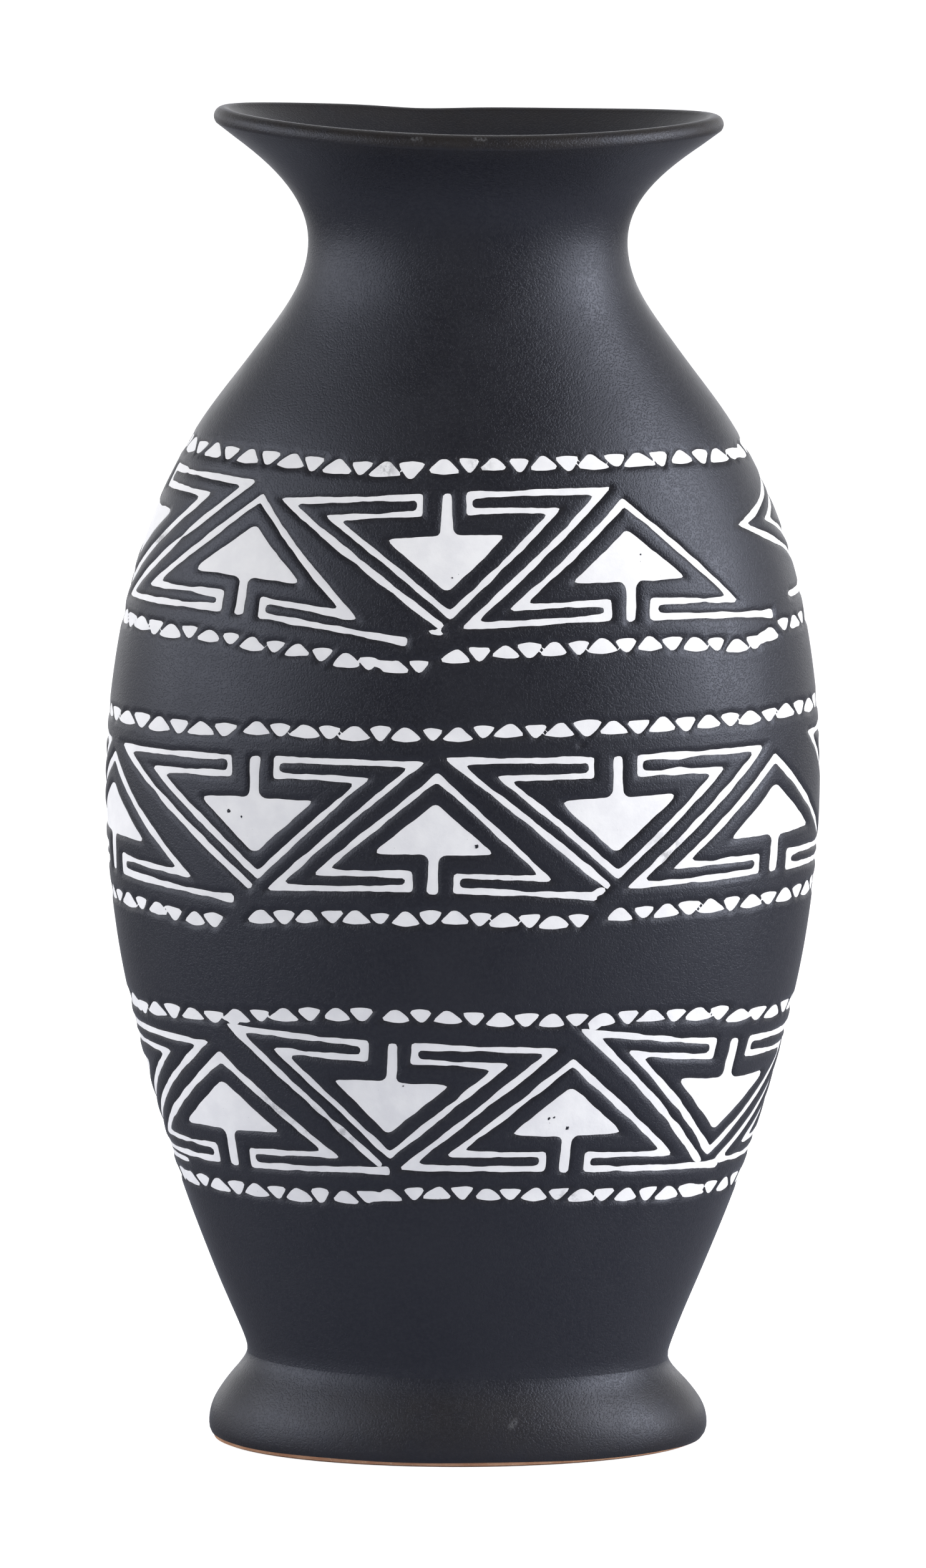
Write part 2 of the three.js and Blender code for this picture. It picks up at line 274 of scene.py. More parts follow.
def larger(a, b, blend):
    """The larger of two numbers, rounded where they cross."""
    return (a + b + np.sqrt((a - b) ** 2 + blend ** 2)) / 2


def smaller(a, b, blend):
    return -larger(-a, -b, blend)


def eased(x):
    """0 below 0, 1 above 1, and smooth between."""
    x = np.clip(x, 0, 1)
    return x * x * (3 - 2 * x)


def share_between(x, ends):
    """0 at the first end and 1 at the last."""
    return (x - ends[0]) / (ends[1] - ends[0])


def blurred(values, step, spread):
    """A table smoothed by a bell curve; its ends are left alone."""
    reach = int(3 * spread / step)
    offsets = np.arange(-reach, reach + 1)
    bell = np.exp(-0.5 * (offsets * step / spread) ** 2)
    inner = np.convolve(values, bell / bell.sum(), "valid")
    return np.concatenate([values[:reach], inner, values[-reach:]])


TABLE_STEP = 0.25
HEIGHTS = np.arange(-40, 380, TABLE_STEP)
FOOT = blurred(smooth(FOOT_OUTLINE, HEIGHTS), TABLE_STEP, 0.8)
BODY = blurred(smooth(BODY_OUTLINE, HEIGHTS), TABLE_STEP, 3)
OUTSIDE = larger(FOOT, BODY, CREASE)
LIP_GIRTH = BODY_OUTLINE[-1][1] + 0.3
GIRTH = smaller(OUTSIDE, LIP_GIRTH + HEIGHT * (1 - eased((HEIGHTS - 300) / 20)), 3)
INSIDE = OUTSIDE - WALL * np.hypot(1, np.gradient(BODY, TABLE_STEP))


def outside(height):
    return np.interp(height, HEIGHTS, OUTSIDE)


def inside(height):
    return np.interp(height, HEIGHTS, INSIDE)


def uneven(turn, height):
    """The hand-made wall's own slight swells, in half width."""
    swell = 0.13 * np.sin(2 * turn + height / 47 + 1) + 0.09 * np.sin(3 * turn - height / 33)
    return (swell + 0.05 * np.sin(5 * turn + height / 19 + 2)) * eased(height / 12)


def rise(turn, height):
    """How far a point sits above its even height: the tilted waist and the wavy mouth."""
    near_waist = np.exp(-0.5 * ((height - WAIST) / 8) ** 2) * eased(height / 10)
    lift = MOUTH_LIFT
    mouth = lift["all"] + lift["front"] * np.cos(turn) - lift["left"] * np.sin(turn)
    mouth = mouth - lift["ends"] * np.cos(2 * turn)
    from_dip = (np.mod(turn, 2 * math.pi) - MOUTH_DIP["turn"]) / MOUTH_DIP["spread"]
    mouth = mouth - MOUTH_DIP["depth"] * np.exp(-0.5 * from_dip ** 2)
    near_mouth = eased(share_between(height, MOUTH_WAVES)) ** 1.5
    return mouth * near_mouth - WAIST_TILT * np.sin(turn) * near_waist


def place(turn, width, height):
    """Points on the vase from a turn, a half width and an even height."""
    girth = np.interp(height, HEIGHTS, GIRTH)
    swollen = width + uneven(turn, height)
    x = swollen * np.sin(turn) + LEAN * np.maximum(height - WAIST, 0) / (HEIGHT - WAIST)
    y = -(swollen - (1 - OVAL) * girth) * np.cos(turn)
    return np.stack(np.broadcast_arrays(x, y, height + rise(turn, height)), -1)


def unit(vectors):
    return vectors / np.maximum(np.linalg.norm(vectors, axis=-1, keepdims=True), 1e-9)


def wall_frame(turn, height):
    """Unit vectors across, up and out of the outside at each point."""
    dt, dz = 0.003, 0.3
    across = place(turn + dt, outside(height), height) - place(turn - dt, outside(height), height)
    up = place(turn, outside(height + dz), height + dz) - place(turn, outside(height - dz), height - dz)
    return unit(across), unit(up), unit(np.cross(across, up))


# ---- pieces ----

def add_piece(name, points, faces, material, nodes=(), normals=None, marks=None):
    """A mesh piece that rides on the vase, takes a slot's finish and stands for CAD nodes."""
    mesh = bpy.data.meshes.new(name)
    mesh.from_pydata((np.asarray(points) * MM).tolist(), [], faces)
    mesh.shade_smooth()
    for label, values in (marks or {}).items():
        mark = mesh.attributes.new(label, "FLOAT", "POINT")
        mark.data.foreach_set("value", np.asarray(values, np.float32))
    if normals is not None:
        mesh.normals_split_custom_set_from_vertices(normals.tolist())
    mesh.materials.append(material)
    piece = bpy.data.objects.new(name, mesh)
    bpy.context.scene.collection.objects.link(piece)
    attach(piece, root_body)
    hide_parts(*nodes)
    return piece


def between(keys, step):
    """Heights through the given ones, with others in about equal steps between them."""
    rows = []
    for a, b in zip(keys, keys[1:]):
        rows.append(np.linspace(a, b, max(1, round(abs(b - a) / step)), endpoint=False))
    return np.concatenate(rows + [keys[-1:]])


COLUMNS = 288
TURNS = np.linspace(-math.pi, math.pi, COLUMNS, endpoint=False)
ROW = 1.6  # spacing of the rows that make up the wall
CLAY_EDGE = math.radians(40)  # bare clay stays crisp where it bends by more than this


def ring_faces(rows, columns, closed=True):
    """Quads that join each ring of points to the next, the last to the first if closed."""
    here = np.arange(rows * columns).reshape(rows, columns)
    above = np.roll(here, -1, 0)
    if not closed:
        here, above = here[:-1], above[:-1]
    quads = np.stack([here, np.roll(here, -1, 1), np.roll(above, -1, 1), above], -1)
    return quads.reshape(-1, 4).tolist()


def flow(points):
    """Normals of a grid of points: rows up the wall, columns round it."""
    up = np.gradient(points, axis=0)
    across = np.roll(points, -1, 1) - np.roll(points, 1, 1)
    return unit(np.cross(across, up))


def whole_profile():
    """(half width, height) up the outside from the waist, over the lip and down inside."""
    outer = between([WAIST, BELLY_SEAM, NECK_SEAM, RIM_SEAM, 328], ROW)
    start = math.atan2(-1, 1.25)
    roll = np.linspace(start, start + math.pi, 15)
    inner = between([327.0, RIM_SEAM, NECK_SEAM, BELLY_SEAM, WAIST], 2.5)
    width = [outside(outer), LIP_CENTRE[0] + LIP_RADIUS * np.cos(roll), inside(inner)]
    height = [outer, LIP_CENTRE[1] + LIP_RADIUS * np.sin(roll), inner]
    return np.concatenate(width), np.concatenate(height)


WIDTHS, LEVELS = whole_profile()
SKIN = place(TURNS[None], WIDTHS[:, None], LEVELS[:, None])
SKIN_NORMALS = flow(SKIN)
LIP_TOP = int(np.argmax(LEVELS))


def thin_glaze(height):
    """How far the glaze has drawn back from the lip and the foot, from 0 to 1."""
    lip = eased(share_between(height, LIP_THINNING))
    return np.maximum(lip, FOOT_THINNEST * eased(share_between(height, FOOT_THINNING)))


def recess_rows(bottom, top):
    """Points, normals and heights of the rows that line a band's recess."""
    rows = between([bottom, top], 6)
    height = np.concatenate([[bottom], rows, [top]])[:, None]
    depth = np.concatenate([[0], np.full(len(rows), BAND_DEPTH), [0]])[:, None]
    points = place(TURNS[None], outside(height) - depth, height)
    normals = np.broadcast_to(wall_frame(TURNS[None], height)[2], points.shape)
    return points, normals, height[:, 0]


def wall_section(name, low, high, material, recesses=()):
    """A ring of the wall between two seams. A recess is a (low, high) band cut into it."""
    whole = (SKIN, SKIN_NORMALS, LEVELS)
    in_section = (LEVELS >= low) & (LEVELS <= high)
    on_outer = np.arange(len(LEVELS)) <= LIP_TOP
    stacks = [[rows[in_section & on_outer]] for rows in whole]
    for bottom, top in recesses:
        below, above = stacks[-1][-1] < bottom, stacks[-1][-1] > top
        for stack, lining in zip(stacks, recess_rows(bottom, top)):
            rows = stack.pop()
            stack += [rows[below], lining, rows[above]]
    outer_count = sum(len(rows) for rows in stacks[-1])
    for stack, rows in zip(stacks, whole):
        stack.append(rows[in_section & ~on_outer])
    points, normals, levels = (np.concatenate(stack) for stack in stacks)
    on_inside = np.arange(len(levels)) >= outer_count
    marks = {"thin": np.repeat(thin_glaze(levels - INSIDE_DRAW * on_inside), COLUMNS)}
    add_piece(name + "_wall", points.reshape(-1, 3), ring_faces(len(levels), COLUMNS), material,
              [name], normals.reshape(-1, 3), marks)


def foot_glaze(material):
    """The foot's skin of glaze, beaded along its wandering lower edge."""
    edge = 1.15 - 0.45 * np.sin(TURNS) + 0.15 * np.sin(3 * TURNS + 1) + 0.1 * np.sin(8 * TURNS)
    rows = 20
    share = np.linspace(0, 1, rows)[:, None]
    height = edge[None] + (WAIST - edge[None]) * share
    bead = 1 - eased(share * rows)
    outer = place(TURNS[None], outside(height) - 0.12 * bead, height)
    inner = place(TURNS[None], outside(height) - FOOT_SKIN, height + 0.25 * bead)[::-1]
    points = np.concatenate([outer, inner])
    normals = np.concatenate([flow(outer), -flow(inner)])
    normals[rows - 1] = wall_frame(TURNS, np.full(COLUMNS, WAIST))[2]
    marks = {"thin": np.concatenate([thin_glaze(height), thin_glaze(height)[::-1]]).ravel()}
    add_piece("foot_glaze", points.reshape(-1, 3), ring_faces(len(points), COLUMNS), material,
              ["foot_ring"], normals.reshape(-1, 3), marks)


def foot_clay(material):
    """The foot's ring of clay: hollow inside, with a ledge for the floor and a bare sole."""
    ceiling = FOOT_HOLLOW + LEDGE
    sole = FOOT_OUTLINE[0][1]
    sole_inside = sole - SOLE_WIDTH
    profile = [(sole - 0.9, 0), (outside(0.5) - FOOT_SKIN / 2, 0.5)]
    profile += [(outside(z) - FOOT_SKIN, z) for z in between([1.5, WAIST], 1.5)]
    profile += [
        (ceiling, WAIST), (ceiling, FLOOR_UNDERSIDE), (FOOT_HOLLOW, FLOOR_UNDERSIDE),
        (FOOT_HOLLOW + 0.5, 12.5), (sole_inside - 0.8, 1), (sole_inside, 0.2), (sole_inside + 0.8, 0),
    ]
    width, level = np.array(profile, float).T
    points = place(TURNS[None], width[:, None], level[:, None])
    ring = add_piece("foot_clay", points.reshape(-1, 3), ring_faces(len(profile), COLUMNS), material,
                     ["foot_ring"])
    ring.data.set_sharp_from_angle(angle=CLAY_EDGE)


def floor_disc(material):
    """The floor of the vase, with a thrower's spiral in its underside."""
    edge, centre = FOOT_HOLLOW + LEDGE - CLEARANCE, 2
    under, over = np.linspace(centre, edge, 44), np.linspace(edge, centre, 12)
    ridge = 0.25 * np.cos(2 * math.pi * under / 4.5)
    width = np.concatenate([under, over])[:, None]
    level = np.concatenate([FLOOR_UNDERSIDE + 0.3 + ridge, np.full(len(over), WAIST)])[:, None]
    spiral = 0.12 * np.cos(TURNS[None] + width * 1.4) * (level < WAIST)
    half_depth = edge - (1 - OVAL) * outside(FLOOR_UNDERSIDE)
    x = width * np.sin(TURNS)[None]
    y = -width * half_depth / edge * np.cos(TURNS)[None]
    points = np.stack([x, y, level + spiral], -1).reshape(-1, 3)
    faces = ring_faces(len(width), COLUMNS, closed=False)
    faces.append(list(reversed(range(COLUMNS))))
    faces.append(list(range(len(points) - COLUMNS, len(points))))
    disc = add_piece("floor_disc", points, faces, material, ["base_floor"])
    disc.data.set_sharp_from_angle(angle=CLAY_EDGE)


# ---- the figures, as distances on the unrolled wall ----

def unit_arc():
    """Turns, and the distance along a unit oval from its front to each."""
    turns = np.linspace(0, 3 * math.pi, 4001)
    middle = (turns[1:] + turns[:-1]) / 2
    stretch = np.hypot(np.cos(middle), OVAL * np.sin(middle)) * np.diff(turns)
    return turns, np.concatenate([[0], np.cumsum(stretch)])


ARC_TURNS, ARC_LENGTHS = unit_arc()


def turn_at(along, width):
    """Turn of a point at a distance along the wall from its front."""
    return np.sign(along) * np.interp(np.abs(along) / width, ARC_LENGTHS, ARC_TURNS)


def unrolled(stencil, plan, points):
    """A stencil's points on the unrolled wall: (along, height)."""
    foot_end, top_end, drift = stencil[:3]
    along, up = np.array(points, float)[:, :2].T
    at_foot, at_top = (at + along * scale for at, scale in (foot_end, top_end))
    held = np.clip(along, STENCIL_MARKS[0], STENCIL_MARKS[-1])
    shift = smooth(list(zip(STENCIL_MARKS, drift)), held)
    stretched = at_foot + (at_top - at_foot) * up / STENCIL_TOP
    return np.stack([stretched, plan["foot"] + up * plan["squash"] + shift], -1)


def refined(points, longest):
    """The same line with more points, none further apart than longest."""
    fine = []
    for a, b in zip(points, points[1:]):
        parts = max(1, math.ceil(np.linalg.norm((b - a)[:2]) / longest))
        fine += [a + (b - a) * k / parts for k in range(parts)]
    return np.array(fine + [points[-1]])


def stroke_outline(points, widths):
    """The outline of a bent line of changing width, mitred at its corners."""
    direction = unit(np.diff(points, axis=0))
    normal = np.stack([-direction[:, 1], direction[:, 0]], -1)
    before = np.concatenate([normal[:1], normal])
    after = np.concatenate([normal, normal[-1:]])
    mitre = unit(before + after)
    mitre *= (widths / 2 / np.sum(mitre * before, -1))[:, None]
    return np.concatenate([points - mitre, (points + mitre)[::-1]])


def arrow_outline(shape, rng):
    """An arrow: a stem with small fillets, and a head that is half a diamond."""
    head, stem, fillet = ARROW["half_head"], ARROW["half_stem"], ARROW["fillet"]
    end, tip = shape["stem"], shape["head"] + 0.2
    corners = [
        (-stem, -end), (stem, -end), (stem, -fillet), (stem + fillet / 3, -fillet / 3),
        (stem + fillet, 0), (head, 0.3), (head - 0.4, 1.1), (0.7, tip), (-0.7, tip),
        (0.4 - head, 1.1), (-head, 0.3), (-stem - fillet, 0), (-stem - fillet / 3, -fillet / 3),
        (-stem, -fillet),
    ]
    jitter = rng.normal(0, 0.14, (len(corners), 2))
    outline = np.array(corners) + jitter
    return outline * (1, shape["points"]) + (shape["along"], shape["base"])


def signed_distance(outline, along, height):
    """Distance from a closed outline at each grid point, negative inside it."""
    nearest = np.full(np.broadcast(along, height).shape, np.inf)
    winding = np.zeros(nearest.shape, int)
    for (ax, az), (bx, bz) in zip(outline, np.roll(outline, -1, 0)):
        ex, ez = bx - ax, bz - az
        px, pz = along - ax, height - az
        share = np.clip((px * ex + pz * ez) / max(ex * ex + ez * ez, 1e-9), 0, 1)
        nearest = np.minimum(nearest, (px - share * ex) ** 2 + (pz - share * ez) ** 2)
        side = ex * pz - ez * px
        winding += ((az <= height) & (bz > height) & (side > 0)).astype(int)
        winding -= ((az > height) & (bz <= height) & (side < 0)).astype(int)
    return np.where(winding != 0, -1, 1) * np.sqrt(nearest)


def softened(field, share=0.2):
    """A field averaged a little with its neighbours, which rounds the corners of its figures."""
    for axis in (0, 1):
        padded = np.pad(field, [(1, 1) if a == axis else (0, 0) for a in (0, 1)], mode="edge")
        low, high = (padded[:-2], padded[2:]) if axis == 0 else (padded[:, :-2], padded[:, 2:])
        field = (1 - 2 * share) * field + share * (low + high)
    return field


class Band:
    """One band on a grid over the unrolled wall, with the distance to each of its figures."""

    def __init__(self, name, plan, seed):
        self.name, self.plan = name, plan
        self.width = float(outside(plan["foot"] + FRET_TOP / 2))
        self.girth = 2 * self.width * float(np.interp(math.pi, ARC_TURNS, ARC_LENGTHS))
        self.columns = round(self.girth / GRID)
        self.step = self.girth / self.columns
        self.low, self.high = plan["foot"] - BAND_BELOW, plan["foot"] + BAND_ABOVE
        self.heights = np.linspace(self.low, self.high, round((self.high - self.low) / GRID) + 1)
        self.rise = self.heights[1] - self.heights[0]
        self.rng = np.random.default_rng(seed)
        self.wobble = 0.08 * self.noise(5) + 0.035 * self.noise(2)
        self.field = np.full((len(self.heights), self.columns), FAR)
        self.figures = {}

    def noise(self, size):
        """Smooth noise round the band, with a deviation of 1 and lumps of about that size."""
        raw = self.rng.standard_normal((len(self.heights), self.columns))
        fz = np.fft.fftfreq(raw.shape[0], self.rise)[:, None]
        fx = np.fft.fftfreq(raw.shape[1], self.step)[None]
        soft = np.fft.ifft2(np.fft.fft2(raw) * np.exp(-((fz ** 2 + fx ** 2) * size ** 2) * 2)).real
        return soft / soft.std()

    def add(self, node, outline):
        """Cuts a figure into the band, and into its own node's grid."""
        margin = FAR + 2 * self.step
        (x0, z0), (x1, z1) = outline.min(0) - margin, outline.max(0) + margin
        columns = np.arange(math.floor(x0 / self.step), math.ceil(x1 / self.step) + 1)
        first = max(0, math.floor((z0 - self.low) / self.rise))
        rows = np.arange(first, min(len(self.heights), math.ceil((z1 - self.low) / self.rise) + 1))
        distance = signed_distance(outline, columns[None] * self.step, self.heights[rows][:, None])
        distance = np.minimum(softened(distance), FAR)
        here = np.ix_(rows, columns % self.columns)
        own = self.figures.setdefault(node, np.full(self.field.shape, FAR))
        for field in (self.field, own):
            field[here] = np.minimum(field[here], distance)

    def from_front(self, along):
        """A distance round the wall as one from its front, negative to the left."""
        return (along + self.girth / 2) % self.girth - self.girth / 2

    def tooth_rows(self):
        for row in ("upper", "lower"):
            for first, last, count in self.plan[row + "_runs"]:
                pitch = (last - first) / (count - 1)
                for i, along in enumerate(np.linspace(first, last, count)):
                    self.tooth(row, along, DOWN_TOOTH if i % 2 else UP_TOOTH, pitch)

    def growth(self, row, along, pitch):
        """How many times as large as the others a tooth came out."""
        for band_name, row_name, at, grown in BIG_TEETH:
            if (band_name, row_name) == (self.name, row) and abs(at - along) < pitch / 2:
                return grown
        return 1

    def tooth(self, row, along, corners, pitch):
        grown = self.growth(row, along, pitch)
        wide = grown * pitch / TOOTH_PITCH * self.rng.normal(1, 0.05)
        tall = grown * self.rng.normal(1, 0.04)
        shape = np.array(corners) * (wide, tall) + self.rng.normal(0, 0.12, (len(corners), 2))
        level = smooth(self.plan[row], self.from_front(along)) + self.rng.normal(0, 0.1)
        self.add(f"teeth_{self.name}_{row}", shape + (along, level))

    def prints(self):
        for number, stencil in enumerate(self.plan["prints"], 1):
            label = f"{self.name}_{number}"
            tail = [(u + stencil[3] * k, v, w) for k, (u, v, w) in zip((0.5, 1, 1), TAIL)]
            line = refined(np.array(FRET + tail, float), 6)
            widths = LINE_SHARE * line[:, 2] * self.rng.normal(1, 0.035, len(line))
            self.add("fret_" + label, stroke_outline(unrolled(stencil, self.plan, line), widths))
            for kind, shape in (("down", DOWN_ARROW), ("up", UP_ARROW)):
                outline = arrow_outline(shape, self.rng)
                outline = refined(np.concatenate([outline, outline[:1]]), 5)[:-1]
                self.add(f"arrow_{kind}_{label}", unrolled(stencil, self.plan, outline))

    def strays(self):
        for node, width, points in self.plan["strays"]:
            line = refined(np.array(points, float), 2)
            widths = np.full(len(line), width)
            widths[[0, -1]] *= 0.7
            self.add(node, stroke_outline(line, widths))

    def on_wall(self, along, height, depth):
        return place(turn_at(along, self.width), outside(height) - depth, height)


# ---- cutting a grid along the figures' edges ----

def cell_pieces():
    """For each pattern of inside corners of a cell: its polygons inside and outside, and edges.

    Corners are 0 to 3 counter-clockwise, and 4 + k is where the edge after corner k is cut."""
    patterns = {}
    for code in range(1, 15):
        inside_corner = [bool(code >> k & 1) for k in range(4)]
        inner, outer, edges = [], [], []
        for k in range(4):
            (inner if inside_corner[k] else outer).append(k)
            if inside_corner[k] != inside_corner[(k + 1) % 4]:
                inner.append(4 + k)
                outer.append(4 + k)
        for k, corner in enumerate(inner):
            following = inner[(k + 1) % len(inner)]
            if corner >= 4 and following >= 4:
                edges.append((corner, following))
        outers = [outer]
        if code in (5, 10):
            outers = [[4 + (k + 3) % 4, k, 4 + k] for k in range(4) if not inside_corner[k]]
        patterns[code] = ([inner], outers, edges)
    return patterns


PATTERNS = cell_pieces()


def cut_grid(field):
    """Cuts a band's grid where its field is 0. Returns inner faces, outer faces and cut edges, as
    lists of vertex numbers: a grid point's own, plus once or twice their count for a cut point on
    the edge to its right or above it."""
    rows, columns = field.shape
    count = rows * columns
    number = np.arange(count).reshape(rows, columns)
    right = np.roll(number, -1, 1)
    low, low_right, high, high_right = number[:-1], right[:-1], number[1:], right[1:]
    corners = np.stack([low, low_right, high_right, high], -1).reshape(-1, 4)
    cuts = np.stack([low + count, low_right + 2 * count, high + count, low + 2 * count], -1)
    slots = np.concatenate([corners, cuts.reshape(-1, 4)], -1)
    code = ((field.ravel()[corners] < 0) * (1, 2, 4, 8)).sum(-1)
    inner = corners[code == 15].tolist()
    outer = corners[code == 0].tolist()
    edges = []
    for pattern, (inners, outers, ends) in PATTERNS.items():
        cells = slots[code == pattern]
        for polygon in inners:
            inner += cells[:, polygon].tolist()
        for polygon in outers:
            outer += cells[:, polygon].tolist()
        for pair in ends:
            edges += cells[:, pair].tolist()
    return inner, outer, edges


def cut_points(field, along, height):
    """(along, height) of every grid point, then of the cut to its right, then above it."""
    along, height = np.broadcast_arrays(along, height)
    to_right, to_above = along[0, 1] - along[0, 0], height[1, 0] - height[0, 0]
    spots = [np.stack([along, height], -1)]
    for axis, move in ((1, (to_right, 0)), (0, (0, to_above))):
        change = field - np.roll(field, -1, axis)
        share = np.clip(field / np.where(np.abs(change) < 1e-9, 1, change), 0, 1)
        spots.append(spots[0] + share[..., None] * np.array(move))
    return np.concatenate([s.reshape(-1, 2) for s in spots])


def compact(faces, *stacks):
    """Drops the entries of each stack that no face uses, and renumbers the faces to match."""
    flat = np.concatenate([np.asarray(f) for f in faces])
    used, renumbered = np.unique(flat, return_inverse=True)
    ends = np.cumsum([len(f) for f in faces])[:-1]
    return [part.tolist() for part in np.split(renumbered, ends)], [stack[used] for stack in stacks]


def edge_height(distance):
    """Height of the glaze at a distance from a figure's edge, and its slope there."""
    left = 1 - np.clip(distance / EDGE_WIDTH, 0, 1)
    return -EDGE_DEPTH * left ** 2, 2 * EDGE_DEPTH / EDGE_WIDTH * left


def with_cuts(values):
    """A grid's values, then those half way to the right and half way up, both twice over: for the
    figures' edges in the face of the glaze, and for those in their beds."""
    halves = [((values + np.roll(values, -1, axis)) / 2).ravel() for axis in (1, 0)]
    return np.concatenate([values.ravel(), *halves, *halves])


def glaze_face(band, along):
    """A band's face with the beds sunk into it: its faces, and each point's (along, height), depth
    and slopes along and up."""
    field = band.field + band.wobble
    count = field.size
    height, slope = edge_height(field)
    change_up = np.gradient(field, band.rise, axis=0)
    change_along = (np.roll(field, -1, 1) - np.roll(field, 1, 1)) / (2 * band.step)
    spots = cut_points(field, along, band.heights[:, None])
    spots = np.concatenate([spots, spots[count:]])
    depth = np.where(field < 0, SLIP_BED, -height).ravel()
    depth = np.concatenate([depth, np.full(2 * count, EDGE_DEPTH), np.full(2 * count, SLIP_BED)])
    inner, outer, edges = cut_grid(field)
    to_bed = 2 * count
    beds = [[v + to_bed if v >= count else v for v in face] for face in inner]
    sides = [[a, b, b + to_bed, a + to_bed] for a, b in edges]
    slopes = with_cuts(slope * change_along), with_cuts(slope * change_up)
    return beds + outer + sides, spots, depth, *slopes


def glaze_band(band, material):
    """The glaze of a band: a ring, flat behind, with the figures' beds sunk into its face."""
    along = (np.arange(band.columns) * band.step)[None]
    faces, spots, depth, slope_along, slope_up = glaze_face(band, along)
    back_spots = np.stack(np.broadcast_arrays(along, between([band.low, band.high], 5)[:, None]), -1)
    back = len(spots) + np.arange(back_spots[..., 0].size).reshape(-1, band.columns)
    face = np.arange(band.field.size).reshape(band.field.shape)
    strips = list(zip(back[1:], back[:-1])) + [(back[0], face[0]), (face[-1], back[-1])]
    for a, b in strips:
        faces += np.stack([a, np.roll(a, -1), np.roll(b, -1), b], -1).tolist()
    flat = np.zeros(back.size)
    spots = np.concatenate([spots, back_spots.reshape(-1, 2)])
    depth = np.concatenate([depth, flat + BAND_DEPTH])
    slope_along, slope_up = np.append(slope_along, flat), np.append(slope_up, flat)
    faces, (spots, depth, slope_along, slope_up) = compact(faces, spots, depth, slope_along, slope_up)
    points = band.on_wall(spots[:, 0], spots[:, 1], depth)
    across, up, out = wall_frame(turn_at(spots[:, 0], band.width), spots[:, 1])
    normals = unit(out - across * slope_along[:, None] - up * slope_up[:, None])
    marks = {"thin": EDGE_THINNEST * np.clip(depth / EDGE_DEPTH, 0, 1) ** 2}
    add_piece(f"band_{band.name}_glaze", points, faces, material, (), normals, marks)


def slip_figure(band, node, field, material):
    """One node's figures: thin inlays of slip, a little below the glaze round them."""
    along = (np.arange(band.columns) * band.step)[None]
    spots = cut_points(field, along, band.heights[:, None])
    inner, _, edges = cut_grid(field)
    size = len(spots)
    faces = inner + [[v + size for v in reversed(face)] for face in inner]
    faces += [[b, a, a + size, b + size] for a, b in edges]
    depth = np.concatenate([np.full(size, SLIP_DEPTH), np.full(size, SLIP_BED - SLIP_GAP)])
    faces, (spots, depth) = compact(faces, np.concatenate([spots, spots]), depth)
    points = band.on_wall(spots[:, 0], spots[:, 1], depth)
    facing = np.where(depth == SLIP_DEPTH, 1, -1)[:, None]
    normals = wall_frame(turn_at(spots[:, 0], band.width), spots[:, 1])[2] * facing
    add_piece(node + "_slip", points, faces, material, [node], normals,
              {"worn": worn(band, spots)})


def slip_figures(band, material):
    """All of a band's figures. Where two meet, the later one stops at the earlier one's edge."""
    taken = np.full(band.field.shape, FAR)
    for node, field in band.figures.items():
        field = field + band.wobble
        slip_figure(band, node, np.maximum(field, -taken), material)
        taken = np.minimum(taken, field)


def worn(band, spots):
    """How worn the slip is at (along, height) spots, from 0 to 1."""
    from_front = band.from_front(spots[:, 0])
    wear = np.zeros(len(spots))
    for along, height, radius in WORN:
        far = np.hypot(from_front - along, spots[:, 1] - height) / radius
        wear = np.maximum(wear, 1 - eased(far))
    return wear


def glaze_spats(bands, material):
    """Small lumps of glaze that lie on the slip."""
    rng = np.random.default_rng(11)
    sides = 12
    rings = ((1, SLIP_DEPTH + 0.1), (0.95, SLIP_DEPTH - 0.05), (0.5, SLIP_DEPTH - 0.14))
    angle = np.linspace(0, 2 * math.pi, sides, endpoint=False)
    points, faces = [], []
    for name, along, height, radius in SPATS:
        reach = radius * rng.uniform(0.7, 1.25, sides)
        lump = ring_faces(len(rings), sides, closed=False)
        lump.append(list(reversed(range(sides))))
        lump.append(list(range((len(rings) - 1) * sides, len(rings) * sides)))
        faces += [[len(points) + v for v in face] for face in lump]
        for share, depth in rings:
            ring_along, ring_height = share * reach * np.cos(angle), share * reach * np.sin(angle)
            points += bands[name].on_wall(along + ring_along, height + ring_height, depth).tolist()
    add_piece("glaze_spats", points, faces, material)


# ---- materials ----

